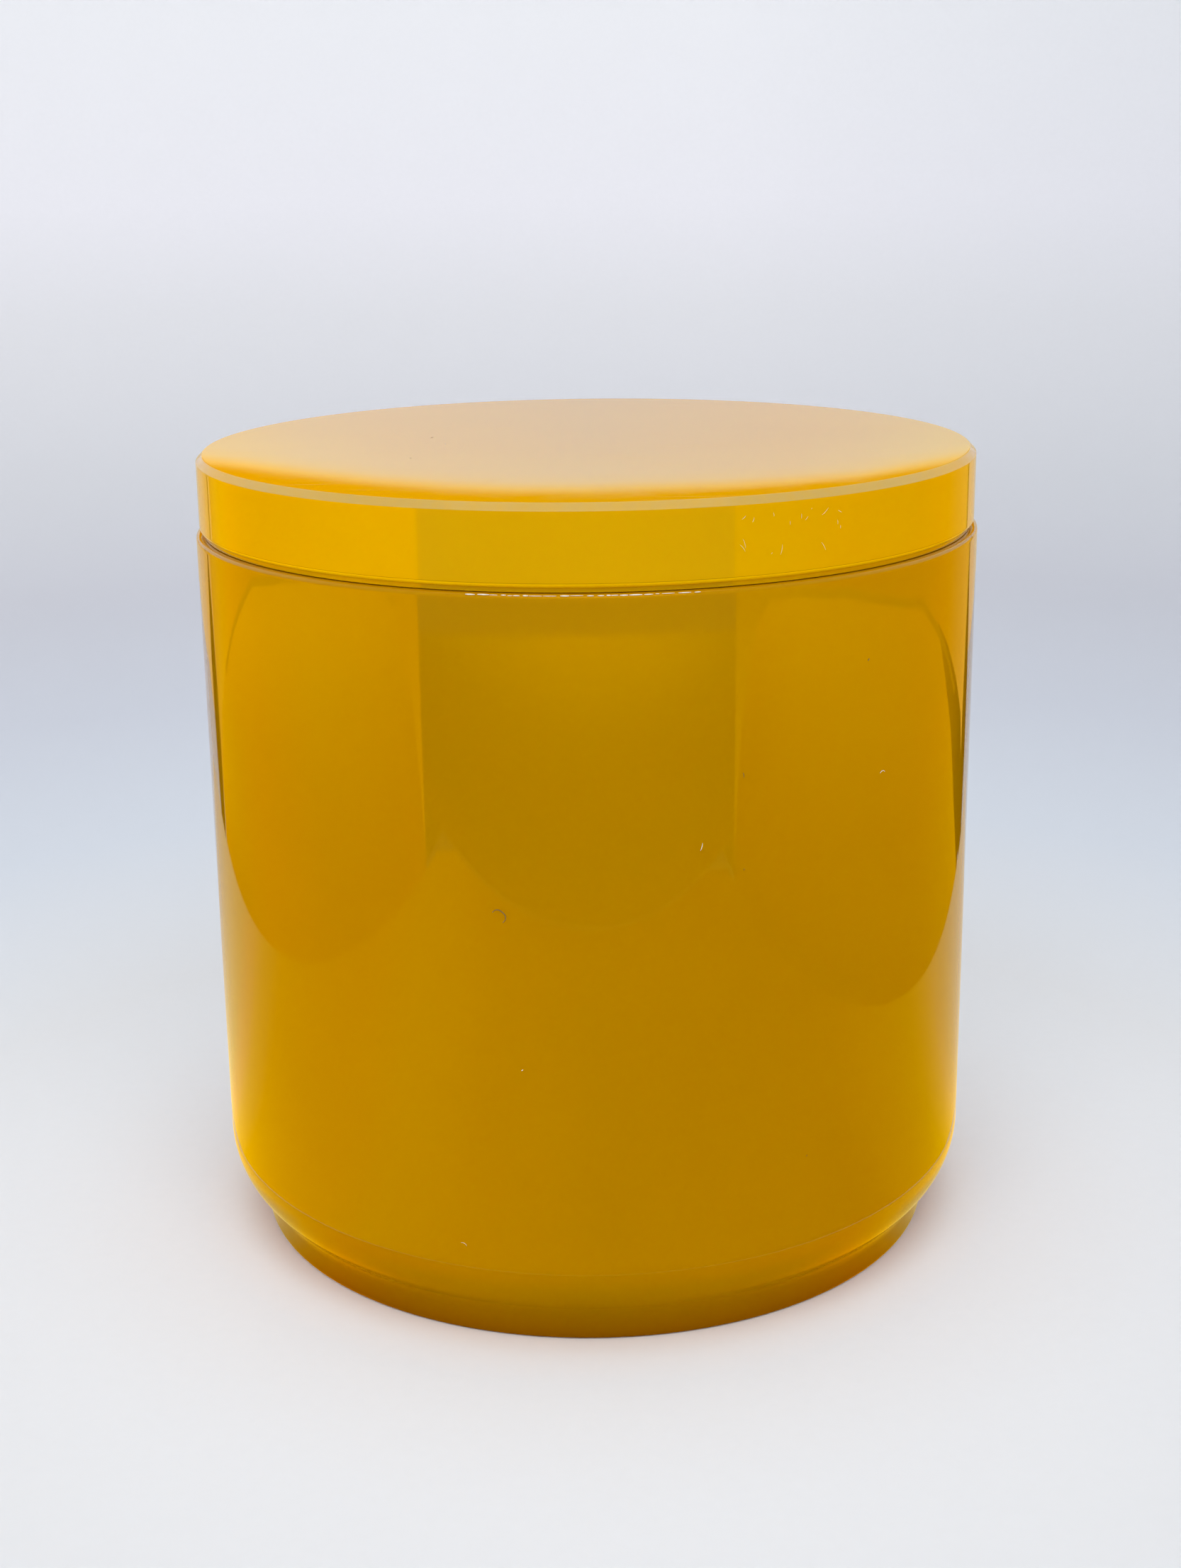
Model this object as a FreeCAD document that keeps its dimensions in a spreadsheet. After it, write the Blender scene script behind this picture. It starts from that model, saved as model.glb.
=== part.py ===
"""Paint jar with a twist-off lid: a double-walled jar, a two-piece lid, its liner and an inner sealing disc.

Millimetres, +Z up, origin at the middle of the foot's resting plane.
"""
import math
import os

import FreeCAD
import Part
import Sketcher

App = FreeCAD

doc = App.newDocument("paint_jar")
sheet = doc.addObject("Spreadsheet::Sheet", "Size")

SIZES = (
    # outer jar
    ("jar_radius", 38.0),
    ("jar_wall", 1.9),
    ("shoulder_height", 70.8),
    ("shoulder_round", 0.4),
    ("corner_radius", 7.85),
    ("foot_depth", 1.7),
    ("foot_radius", 34.55),
    ("foot_thickness", 1.95),
    ("foot_round", 0.4),
    ("rebate_width", 0.9),
    ("rebate_depth", 1.2),
    ("gate_radius", 2.0),
    ("gate_depth", 0.5),
    # inner cup
    ("neck_radius", 33.6),
    ("cup_wall", 1.6),
    ("cup_base", 5.2),
    ("cup_floor", 1.5),
    ("cup_corner", 6.5),
    ("rim_height", 74.65),
    ("rim_round", 0.35),
    ("flange_gap", 0.1),
    ("key_width", 3.0),
    ("key_gap", 0.1),
    ("key_count", 4),
    # multi-start thread between neck and lid
    ("thread_starts", 6),
    ("thread_lead", 18.0),
    ("thread_root", 1.1),
    ("thread_crest", 0.7),
    ("thread_bottom", 72.0),
    ("thread_shift", 1.15),
    ("ridge_depth", 1.1),
    ("ridge_span", 40.0),
    ("lug_span", 24.0),
    # lid
    ("lid_radius", 37.65),
    ("lid_top", 78.3),
    ("lid_edge", 71.25),
    ("lid_wall", 1.4),
    ("lid_roof", 1.1),
    ("lid_chamfer", 0.6),
    ("lid_edge_round", 0.38),
    ("lip_radius", 37.25),
    ("lip_gap", 0.12),
    ("insert_gap", 0.05),
    ("insert_wall", 1.2),
    ("insert_roof", 0.9),
    ("insert_lift", 0.2),
    ("lug_gap", 0.25),
    ("rib_width", 1.8),
    ("rib_depth", 0.5),
    ("rib_count", 12),
    ("liner_radius", 34.6),
    ("liner_thickness", 0.75),
    ("liner_round", 0.15),
    # sealing disc
    ("disc_radius", 33.4),
    ("disc_flange", 0.7),
    ("disc_gap", 0.05),
    ("plug_gap", 0.15),
    ("plug_wall", 1.0),
    ("plug_depth", 2.4),
    ("panel_drop", 1.0),
    ("panel_thickness", 0.7),
    ("disc_round", 0.2),
    ("tab_radius", 9.0),
    ("tab_thickness", 0.7),
    ("tab_rise", 0.6),
    ("tab_hinge", 1.6),
)
for row, (alias, number) in enumerate(SIZES, start=1):
    sheet.set("A%d" % row, alias)
    sheet.set("B%d" % row, str(number))
    sheet.setAlias("B%d" % row, alias)
doc.recompute()

# Radii and heights that several pieces share, as expressions on the sheet.
JAR_BORE = "(Size.jar_radius - Size.jar_wall)"
REBATE_BORE = "(%s + Size.rebate_width)" % JAR_BORE
REBATE_FLOOR = "(Size.shoulder_height - Size.rebate_depth)"
FLANGE_TOP = "(Size.shoulder_height - Size.flange_gap)"
FLANGE_RADIUS = "(%s - Size.flange_gap)" % REBATE_BORE
CUP_BORE = "(Size.neck_radius - Size.cup_wall)"
LID_BORE = "(Size.lid_radius - Size.lid_wall)"
LID_CEILING = "(Size.lid_top - Size.lid_roof)"
INSERT_RADIUS = "(%s - Size.insert_gap)" % LID_BORE
INSERT_BORE = "(%s - Size.insert_wall)" % INSERT_RADIUS
INSERT_CEILING = "(%s - Size.insert_roof)" % LID_CEILING
DISC_SEAT = "(Size.rim_height + Size.disc_gap)"
DISC_TOP = "(%s + Size.disc_flange)" % DISC_SEAT
PLUG_RADIUS = "(%s - Size.plug_gap)" % CUP_BORE
PANEL_TOP = "(%s - Size.panel_drop)" % DISC_SEAT


def value(expression):
    """The number that an expression gives on the sheet."""
    return float(sheet.evalExpression(expression))


def bind(feature, **sizes):
    """Bind a feature's properties to expressions."""
    for name, expression in sizes.items():
        feature.setExpression(name, expression)


def sketch_on(body, name, role):
    """A sketch on one of the body's own origin planes."""
    plane = next(item for item in body.Origin.OriginFeatures if item.Role == role)
    sketch = body.newObject("Sketcher::SketchObject", name)
    sketch.AttachmentSupport = [(plane, "")]
    sketch.MapMode = "FlatFace"
    return sketch


def raise_sketch(sketch, height):
    """Move a sketch up from its plane to a height."""
    sketch.setExpression("AttachmentOffset.Base.z", height)


def tie(sketch, kind, point, expression):
    """Hold one coordinate of a point to an expression, or to the axis where it is zero."""
    line, end = point
    if expression == "0":
        axis = {"DistanceX": -2, "DistanceY": -1}[kind]
        sketch.addConstraint(Sketcher.Constraint("PointOnObject", line, end, axis))
        return
    number = sketch.addConstraint(Sketcher.Constraint(kind, -1, 1, line, end, value(expression)))
    sketch.setExpression("Constraints[%d]" % number, expression)


def outline(sketch, corners):
    """A closed polygon through corners, each a pair of expressions."""
    points = [App.Vector(value(x), value(y), 0) for x, y in corners]
    count = len(points)
    for i in range(count):
        sketch.addGeometry(Part.LineSegment(points[i], points[(i + 1) % count]))
    for i in range(count):
        sketch.addConstraint(Sketcher.Constraint("Coincident", i, 2, (i + 1) % count, 1))
    for i, (x, y) in enumerate(corners):
        tie(sketch, "DistanceX", (i, 1), x)
        tie(sketch, "DistanceY", (i, 1), y)


def circle(sketch, radius):
    """A circle about the sketch's origin."""
    number = sketch.addGeometry(Part.Circle(App.Vector(), App.Vector(0, 0, 1), value(radius)))
    sketch.addConstraint(Sketcher.Constraint("Coincident", number, 3, -1, 1))
    size = sketch.addConstraint(Sketcher.Constraint("Radius", number, value(radius)))
    sketch.setExpression("Constraints[%d]" % size, radius)


def turned(label, corners):
    """A body that is a full turn of an outline about Z."""
    body = doc.addObject("PartDesign::Body", label)
    body.Label = label
    profile = sketch_on(body, label + "_profile", "XZ_Plane")
    outline(profile, corners)
    turn = body.newObject("PartDesign::Revolution", label + "_turn")
    turn.Profile = profile
    turn.ReferenceAxis = (profile, ["V_Axis"])
    turn.Angle = 360
    doc.recompute()
    return body


def ring_edges(shape, places):
    """Names of the circular edges about Z at the given radii and heights."""
    names = []
    for radius, height in places:
        for number, edge in enumerate(shape.Edges, start=1):
            curve = edge.Curve
            if not isinstance(curve, Part.Circle):
                continue
            same_size = abs(curve.Radius - value(radius)) < 1e-4
            same_height = abs(curve.Center.z - value(height)) < 1e-4
            if same_size and same_height:
                names.append("Edge%d" % number)
    return names


def eased(body, kind, name, places, size):
    """Fillet or chamfer ring edges of the body's tip."""
    base = body.Tip
    feature = body.newObject("PartDesign::" + kind, name)
    feature.Base = (base, ring_edges(base.Shape, places))
    feature.setExpression({"Fillet": "Radius", "Chamfer": "Size"}[kind], size)
    doc.recompute()


def flat(body, kind, name, draw, height, length, down=False):
    """Pad or pocket what draw puts in a sketch at a height, upwards or downwards."""
    sketch = sketch_on(body, name + "_sketch", "XY_Plane")
    raise_sketch(sketch, height)
    draw(sketch)
    feature = body.newObject("PartDesign::" + kind, name)
    feature.Profile = sketch
    feature.Reversed = down if kind == "Pad" else not down
    bind(feature, Length=length)
    doc.recompute()
    return feature


def ring_of(body, feature, count):
    """Repeat a feature evenly about Z, with its faces left as they were made."""
    feature.Refine = False
    pattern = body.newObject("PartDesign::PolarPattern", feature.Name + "_ring")
    pattern.Originals = [feature]
    pattern.Axis = (body.Origin.OriginFeatures[2], [""])
    pattern.Angle = 360
    pattern.Refine = False
    bind(pattern, Occurrences=count)
    body.Tip = pattern
    doc.recompute()


def block(inner, outer, width):
    """A radial block between two radii, centred on +X."""
    half = "%s / 2" % width
    corners = ((inner, "-" + half), (outer, "-" + half), (outer, half), (inner, half))
    return lambda sketch: outline(sketch, corners)


def helical(body, name, root, tip, span):
    """One thread ridge of trapezoid section, from a root radius to a tip radius, over a span of degrees."""
    middle = "Size.thread_bottom"
    half_root = "Size.thread_root / 2"
    half_crest = "Size.thread_crest / 2"
    profile = sketch_on(body, name + "_profile", "XZ_Plane")
    outline(profile, (
        (root, "%s - %s" % (middle, half_root)),
        (tip, "%s - %s" % (middle, half_crest)),
        (tip, "%s + %s" % (middle, half_crest)),
        (root, "%s + %s" % (middle, half_root)),
    ))
    ridge = body.newObject("PartDesign::AdditiveHelix", name)
    ridge.Profile = profile
    ridge.ReferenceAxis = (profile, ["V_Axis"])
    ridge.Mode = "height-turns-angle"
    bind(ridge, Height="Size.thread_lead * %s / 360" % span, Turns="%s / 360" % span)
    doc.recompute()
    return ridge


def make_outer_jar():
    """The coloured shell: straight wall, rounded lower corner and a smaller foot ring."""
    floor_top = "(Size.foot_depth + Size.jar_wall)"
    body = turned("outer_jar", (
        ("0", "Size.foot_depth"),
        ("Size.jar_radius", "Size.foot_depth"),
        ("Size.jar_radius", "Size.shoulder_height"),
        (REBATE_BORE, "Size.shoulder_height"),
        (REBATE_BORE, REBATE_FLOOR),
        (JAR_BORE, REBATE_FLOOR),
        (JAR_BORE, floor_top),
        ("0", floor_top),
    ))
    eased(body, "Fillet", "outer_corner", [("Size.jar_radius", "Size.foot_depth")], "Size.corner_radius")
    eased(body, "Fillet", "inner_corner", [(JAR_BORE, floor_top)], "Size.corner_radius - Size.jar_wall")
    eased(body, "Fillet", "shoulder_edge", [("Size.jar_radius", "Size.shoulder_height")],
          "Size.shoulder_round")
    foot_bore = "(Size.foot_radius - Size.foot_thickness)"

    def foot_rings(sketch):
        circle(sketch, "Size.foot_radius")
        circle(sketch, foot_bore)

    flat(body, "Pad", "foot", foot_rings, "0", floor_top)
    eased(body, "Fillet", "foot_edges", [("Size.foot_radius", "0"), (foot_bore, "0")], "Size.foot_round")
    flat(body, "Pocket", "gate_well", lambda sketch: circle(sketch, "Size.gate_radius"),
         "Size.foot_depth", "Size.gate_depth")
    key = flat(body, "Pad", "cup_key",
               block("(%s + Size.key_gap)" % JAR_BORE, "(%s + Size.key_gap)" % REBATE_BORE,
                     "Size.key_width"),
               REBATE_FLOOR, "(Size.rebate_depth - 2 * Size.flange_gap)")
    ring_of(body, key, "Size.key_count")
    return body


def make_inner_cup():
    """The cup that holds the paint, hung in the shell by its flange, with a threaded neck."""
    body = turned("inner_cup", (
        ("0", "Size.cup_base"),
        ("Size.neck_radius", "Size.cup_base"),
        ("Size.neck_radius", REBATE_FLOOR),
        (FLANGE_RADIUS, REBATE_FLOOR),
        (FLANGE_RADIUS, FLANGE_TOP),
        ("Size.neck_radius", FLANGE_TOP),
        ("Size.neck_radius", "Size.rim_height"),
        (CUP_BORE, "Size.rim_height"),
        (CUP_BORE, "Size.cup_base + Size.cup_floor"),
        ("0", "Size.cup_base + Size.cup_floor"),
    ))
    eased(body, "Fillet", "cup_outer_corner", [("Size.neck_radius", "Size.cup_base")], "Size.cup_corner")
    eased(body, "Fillet", "cup_inner_corner", [(CUP_BORE, "Size.cup_base + Size.cup_floor")],
          "Size.cup_corner - Size.cup_floor")
    eased(body, "Fillet", "rim_edges",
          [("Size.neck_radius", "Size.rim_height"), (CUP_BORE, "Size.rim_height")], "Size.rim_round")
    notch = flat(body, "Pocket", "key_notch",
                 block(JAR_BORE, "(%s + Size.flange_gap)" % REBATE_BORE,
                       "(Size.key_width + 2 * Size.key_gap)"),
                 REBATE_FLOOR, "Size.rebate_depth")
    ring_of(body, notch, "Size.key_count")
    ridge = helical(body, "neck_ridge", "(Size.neck_radius - Size.ridge_depth / 4)",
                    "(Size.neck_radius + Size.ridge_depth)", "Size.ridge_span")
    ring_of(body, ridge, "Size.thread_starts")
    return body


def make_lid_insert():
    """The lid's inner cap: a thin roof and skirt with lugs inside and grooves outside."""
    skirt_edge = "(Size.lid_edge + Size.insert_lift)"
    body = turned("lid_insert", (
        ("0", INSERT_CEILING),
        (INSERT_BORE, INSERT_CEILING),
        (INSERT_BORE, skirt_edge),
        (INSERT_RADIUS, skirt_edge),
        (INSERT_RADIUS, LID_CEILING),
        ("0", LID_CEILING),
    ))
    lug = helical(body, "lid_lug", "(%s + Size.insert_wall / 4)" % INSERT_BORE,
                  "(Size.neck_radius + Size.lug_gap)", "Size.lug_span")
    ring_of(body, lug, "Size.thread_starts")
    groove = flat(body, "Pocket", "rib_groove",
                  block("(%s - Size.rib_depth - Size.insert_gap)" % INSERT_RADIUS,
                        "(%s + Size.rib_depth)" % INSERT_RADIUS,
                        "(Size.rib_width + 2 * Size.insert_gap)"),
                  skirt_edge, "%s - %s" % (LID_CEILING, skirt_edge))
    ring_of(body, groove, "Size.rib_count")
    return body


def make_lid_shell():
    """The lid's coloured cover: chamfered rim, a lip over the shoulder and ribs that lock it."""
    lip_edge = "(Size.shoulder_height + Size.lip_gap)"
    body = turned("lid_shell", (
        ("0", LID_CEILING),
        (LID_BORE, LID_CEILING),
        (LID_BORE, lip_edge),
        ("Size.lip_radius", lip_edge),
        ("Size.lip_radius", "Size.lid_edge"),
        ("Size.lid_radius", "Size.lid_edge"),
        ("Size.lid_radius", "Size.lid_top"),
        ("0", "Size.lid_top"),
    ))
    eased(body, "Chamfer", "top_chamfer", [("Size.lid_radius", "Size.lid_top")], "Size.lid_chamfer")
    eased(body, "Fillet", "lower_edge", [("Size.lid_radius", "Size.lid_edge")], "Size.lid_edge_round")
    rib_bottom = "(Size.lid_edge + 2 * Size.insert_lift)"
    rib = flat(body, "Pad", "lock_rib",
               block("(%s - Size.rib_depth)" % LID_BORE, "(%s + Size.lid_wall / 2)" % LID_BORE,
                     "Size.rib_width"),
               rib_bottom, "(%s + Size.lid_roof / 2) - %s" % (LID_CEILING, rib_bottom))
    ring_of(body, rib, "Size.rib_count")
    return body


def make_lid_liner():
    """The foam wad under the lid's roof."""
    top = "(%s - Size.insert_gap)" % INSERT_CEILING
    bottom = "(%s - Size.liner_thickness)" % top
    body = turned("lid_liner", (
        ("0", bottom),
        ("Size.liner_radius", bottom),
        ("Size.liner_radius", top),
        ("0", top),
    ))
    eased(body, "Fillet", "liner_edges", [("Size.liner_radius", bottom), ("Size.liner_radius", top)],
          "Size.liner_round")
    return body


def make_sealing_disc():
    """The inner disc: a flange on the cup's rim, a plug in its mouth and a lift tab over its panel."""
    plug_bore = "(%s - Size.plug_wall)" % PLUG_RADIUS
    plug_edge = "(%s - Size.plug_depth)" % DISC_SEAT
    panel_under = "(%s - Size.panel_thickness)" % PANEL_TOP
    body = turned("sealing_disc", (
        ("0", panel_under),
        (plug_bore, panel_under),
        (plug_bore, plug_edge),
        (PLUG_RADIUS, plug_edge),
        (PLUG_RADIUS, DISC_SEAT),
        ("Size.disc_radius", DISC_SEAT),
        ("Size.disc_radius", DISC_TOP),
        (plug_bore, DISC_TOP),
        (plug_bore, PANEL_TOP),
        ("0", PANEL_TOP),
    ))
    eased(body, "Fillet", "disc_edges",
          [("Size.disc_radius", DISC_TOP), ("Size.disc_radius", DISC_SEAT), (PLUG_RADIUS, plug_edge)],
          "Size.disc_round")
    hinge = "Size.tab_hinge"
    flat(body, "Pad", "tab_hinge",
         lambda sketch: outline(sketch, (
             ("0", "-Size.tab_radius"), (hinge, "-Size.tab_radius"),
             (hinge, "Size.tab_radius"), ("0", "Size.tab_radius"))),
         "(%s - Size.panel_thickness / 2)" % PANEL_TOP,
         "(Size.panel_thickness / 2 + Size.tab_rise + Size.tab_thickness)")

    def half_moon(sketch):
        radius = value("Size.tab_radius")
        centre = Part.Circle(App.Vector(), App.Vector(0, 0, 1), radius)
        quarter = math.pi / 2
        sketch.addGeometry(Part.ArcOfCircle(centre, -quarter, quarter))
        sketch.addGeometry(Part.LineSegment(App.Vector(0, radius, 0), App.Vector(0, -radius, 0)))
        sketch.addConstraint(Sketcher.Constraint("Coincident", 0, 3, -1, 1))
        sketch.addConstraint(Sketcher.Constraint("Coincident", 0, 2, 1, 1))
        sketch.addConstraint(Sketcher.Constraint("Coincident", 1, 2, 0, 1))
        sketch.addConstraint(Sketcher.Constraint("PointOnObject", 0, 1, -2))
        sketch.addConstraint(Sketcher.Constraint("PointOnObject", 0, 2, -2))
        size = sketch.addConstraint(Sketcher.Constraint("Radius", 0, radius))
        sketch.setExpression("Constraints[%d]" % size, "Size.tab_radius")

    flat(body, "Pad", "lift_tab", half_moon, "(%s + Size.tab_rise)" % PANEL_TOP, "Size.tab_thickness")
    return body


outer_jar = make_outer_jar()
inner_cup = make_inner_cup()
lid_insert = make_lid_insert()
lid_shell = make_lid_shell()
lid_liner = make_lid_liner()
sealing_disc = make_sealing_disc()

# Closed, each lug lies under a neck ridge: the lid is turned on from the ridge's start by the lug's drop.
closed_turn = value("360 * Size.thread_shift / Size.thread_lead")
for lid_piece in (lid_insert, lid_shell):
    lid_piece.Placement = App.Placement(App.Vector(), App.Rotation(App.Vector(0, 0, 1), closed_turn))
doc.recompute()

failed = []
for item in doc.Objects:
    if {"Invalid", "Error"} & set(item.State):
        failed.append(item.Name + " " + item.getStatusString())
if failed:
    raise SystemExit("failed features: " + ", ".join(failed))
os.makedirs("parts", exist_ok=True)
for piece in (outer_jar, inner_cup, lid_insert, lid_shell, lid_liner, sealing_disc):
    shape = piece.Shape
    if shape.isNull() or not shape.isValid() or len(shape.Solids) != 1:
        raise SystemExit("bad shape: " + piece.Label)
    print("%-14s %9.1f mm3  %s" % (piece.Label, shape.Volume, shape.BoundBox))
    shape.exportStep("parts/%s.step" % piece.Label)
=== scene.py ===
"""Looks of the paint jar: amber shell and lid cover, white inner pieces, lint, studio and camera."""

import math
import random

import bpy
from mathutils import Matrix, Vector


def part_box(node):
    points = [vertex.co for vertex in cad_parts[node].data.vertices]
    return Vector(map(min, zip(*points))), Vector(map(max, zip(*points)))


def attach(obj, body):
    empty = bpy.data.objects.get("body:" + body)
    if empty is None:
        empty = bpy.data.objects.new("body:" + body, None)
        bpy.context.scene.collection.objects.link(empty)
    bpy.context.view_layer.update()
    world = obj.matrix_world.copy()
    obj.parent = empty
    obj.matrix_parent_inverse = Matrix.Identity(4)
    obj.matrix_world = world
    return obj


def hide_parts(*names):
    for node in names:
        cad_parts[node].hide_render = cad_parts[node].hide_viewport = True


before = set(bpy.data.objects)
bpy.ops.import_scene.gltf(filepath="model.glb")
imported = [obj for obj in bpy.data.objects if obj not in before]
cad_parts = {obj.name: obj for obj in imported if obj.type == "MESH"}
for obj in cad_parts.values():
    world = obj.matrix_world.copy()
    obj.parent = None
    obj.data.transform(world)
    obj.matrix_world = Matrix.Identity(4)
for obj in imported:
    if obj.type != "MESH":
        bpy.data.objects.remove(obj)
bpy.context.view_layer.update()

MM = 0.001
SEGMENTS = 288
ROUND_STEPS = 6
SPLIT_ANGLE = math.radians(28)
CURL_STEPS = 12

# Sizes of the two coloured pieces, in millimetres. Outer limits come from the frame. The lid's edge has a
# lip just inside it that reaches almost down to the jar's shoulder.
jar_low, jar_high = (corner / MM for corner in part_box("outer_jar"))
cover_low, cover_high = (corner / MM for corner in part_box("lid_shell"))
JAR_RADIUS = min(jar_high.x, jar_high.y, -jar_low.x, -jar_low.y)
SHOULDER = jar_high.z
JAR_WALL = 1.9
JAR_BORE = JAR_RADIUS - JAR_WALL
SHOULDER_ROUND = 0.4
REBATE_BORE = JAR_BORE + 0.9
REBATE_FLOOR = SHOULDER - 1.2
CORNER_RADIUS = 7.85
FLOOR_UNDER = 1.7
GATE_RADIUS = 2.0
GATE_DEPTH = 0.5
FLOOR_TOP = FLOOR_UNDER + JAR_WALL
FOOT_RADIUS = 34.55
FOOT_BORE = 32.6
FOOT_ROUND = 0.4
CREASE_ROUND = 2.0
CREASE_STEPS = 10
LID_RADIUS = min(cover_high.x, cover_high.y, -cover_low.x, -cover_low.y)
LID_TOP = cover_high.z
LID_EDGE = 71.25
LID_WALL = 1.4
LID_EDGE_ROUND = 0.38
LIP_RADIUS = 37.25
LIP_EDGE = cover_low.z - 0.08
LID_CHAMFER = 0.6
LID_DISH = 0.03
LID_FLAT_RIM = 4.0
LID_DISH_RADIUS = LID_RADIUS - 18.0
LID_CENTRE_RADIUS = LID_RADIUS - 26.0
LID_CEILING = LID_TOP - 1.1
EDGE_ROUND = 0.1

# Painted light and shade on edges, as levels: 1 is a painted pale highlight, -1 painted shade, -2 a painted
# glow. The painted highlight ends some degrees round from the front and fades before that. It spreads a
# little past its rounding.
PAINTED_HIGHLIGHT = 1.0
PAINTED_SHADE = -1.0
LIP_GLOW = -1.6
EDGE_GLOW = -1.85
CREASE_PAINTED_SHADE = -0.6
PAINT_REACH = 0.06
HIGHLIGHT_END = 64.0
HIGHLIGHT_FADE = 14.0

# Light levels. The last three tones are painted on the plastic: painted highlight at level 1, painted shade
# at -1 and painted glow at -2.
CARD_LEVEL = 1.1
WORLD_LEVEL = 0.64
KEY_LEVEL = 3.12
TOP_LEVEL = 0.65
KEY_PLACE = (0.0, -0.40, 0.48)
KEY_SIZE = (0.5, 0.4)
TOP_PLACE = (0.0, 0.02, 0.62)
TOP_SIZE = (0.5, 0.5)
PANEL_TINT = (0.98, 0.99, 1.0)
PAINTED_HIGHLIGHT_TONE = (0.56, 0.375, 0.10)
PAINTED_SHADE_AMBER = (0.262, 0.10, 0.0)
PAINTED_GLOW_AMBER = (0.98, 0.56, 0.0)

# The backdrop's shape in millimetres, and its tones by distance out along the floor and up the wall. The
# tones are painted light and shade: a warm painted glow round the foot, darker and bluer further out on the
# floor, lighter again up the curve.
SWEEP_FLAT = 320.0
SWEEP_RISE = 160.0
SWEEP_TOP = 600.0
SWEEP_DROP = 0.02
SWEEP_SEGMENTS = 96
SWEEP_PATH = 1200.0
SWEEP_PAINTED_TONES = (
    (0, (0.98, 0.91, 0.86)), (35, (0.98, 0.92, 0.88)), (39, (0.86, 0.88, 0.90)),
    (60, (0.82, 0.84, 0.86)), (80, (0.77, 0.78, 0.79)), (140, (0.675, 0.71, 0.76)),
    (220, (0.635, 0.655, 0.71)), (340, (0.65, 0.65, 0.69)), (430, (0.71, 0.71, 0.73)),
    (560, (0.83, 0.82, 0.83)), (640, (0.93, 0.91, 0.93)), (760, (0.98, 0.97, 0.97)),
    (1000, (0.98, 0.98, 0.98)),
)
SWEEP_GRAIN = (0.6, 0.6, 0.6)
SWEEP_SHADE = (0.50, 0.53, 0.57)


# ---------------------------------------------------------------- meshes

def arc(centre, radius, start, end, steps):
    """Points of an arc between two angles in degrees."""
    points = []
    for k in range(steps + 1):
        angle = math.radians(start + (end - start) * k / steps)
        points.append((centre[0] + radius * math.cos(angle), centre[1] + radius * math.sin(angle)))
    return points


def rounded(corners):
    """A half-section's points and their levels of painted light. A corner is (r, z, radius) or (r, z,
    radius, painted light level).
    """
    points, painted_levels = [], []
    for k, (r, z, radius, *painted_light) in enumerate(corners):
        painted_light = painted_light[0] if painted_light else 0.0
        here = Vector((r, z))
        if not radius:
            points.append(here)
            painted_levels.append(painted_light)
            continue
        before = (Vector(corners[k - 1][:2]) - here).normalized()
        after = (Vector(corners[k + 1][:2]) - here).normalized()
        half = before.angle(after) / 2
        centre = here + (before + after).normalized() * radius / math.sin(half)
        first = here + before * radius / math.tan(half) - centre
        last = here + after * radius / math.tan(half) - centre
        turn = math.atan2(first.x * last.y - first.y * last.x, first.dot(last))
        for step in range(ROUND_STEPS + 1):
            points.append(centre + Matrix.Rotation(turn * step / ROUND_STEPS, 2) @ first)
            painted_levels.append(painted_light)
    return points, painted_levels


def outline_normals(points):
    """Two outward normals for each point of a half-section: before it and after it."""
    stretches = []
    for a, b in zip(points, points[1:]):
        way = b - a
        stretches.append((Vector((way.y, -way.x)).normalized(), way.length))
    normals = []
    for k in range(len(points)):
        before, before_length = stretches[max(k - 1, 0)]
        after, after_length = stretches[min(k, len(stretches) - 1)]
        if before.angle(after) < SPLIT_ANGLE:
            shared = (before * before_length + after * after_length).normalized()
            before = after = shared
        normals.append((before, after))
    return normals


def turned(name, section, material):
    """A closed mesh turned about Z from a half-section in mm, with exact normals and an attribute of painted
    light and shade.
    """
    points, painted_levels = section
    points = [Vector(point) for point in points]
    normals = outline_normals(points)
    vertices, rings = [], []
    for point in points:
        count = SEGMENTS if point.x > 1e-6 else 1
        rings.append((len(vertices), count))
        for j in range(count):
            angle = math.tau * j / SEGMENTS
            vertices.append(Vector((point.x * math.cos(angle), point.x * math.sin(angle), point.y)) * MM)
    faces, shading = [], []
    for k in range(len(points) - 1):
        for j in range(SEGMENTS):
            corners = []
            for ring, column, normal in ((k, j, normals[k][1]), (k, j + 1, normals[k][1]),
                                         (k + 1, j + 1, normals[k + 1][0]), (k + 1, j, normals[k + 1][0])):
                start, count = rings[ring]
                angle = math.tau * column / SEGMENTS
                turned_normal = Vector((normal.x * math.cos(angle), normal.x * math.sin(angle), normal.y))
                corner = (start + column % count, turned_normal)
                if not corners or corners[-1][0] != corner[0]:
                    corners.append(corner)
            if corners[0][0] == corners[-1][0]:
                corners.pop()
            faces.append([index for index, _ in corners])
            shading += [normal for _, normal in corners]
    piece = finished(name, vertices, faces, material, shading)
    painted_light = piece.data.attributes.new("painted_light", "FLOAT", "POINT")
    levels = []
    for level, (_, count) in zip(painted_levels, rings):
        for j in range(count):
            # The painted highlight fades out towards the sides; painted shade and glow go all round.
            from_front = math.remainder(math.tau * j / count + math.pi / 2, math.tau)
            side = abs(math.degrees(from_front))
            painted_part = min(1.0, max(0.0, (HIGHLIGHT_END - side) / HIGHLIGHT_FADE)) if level > 0 else 1.0
            levels.append(level * painted_part)
    painted_light.data.foreach_set("value", levels)
    return piece


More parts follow.
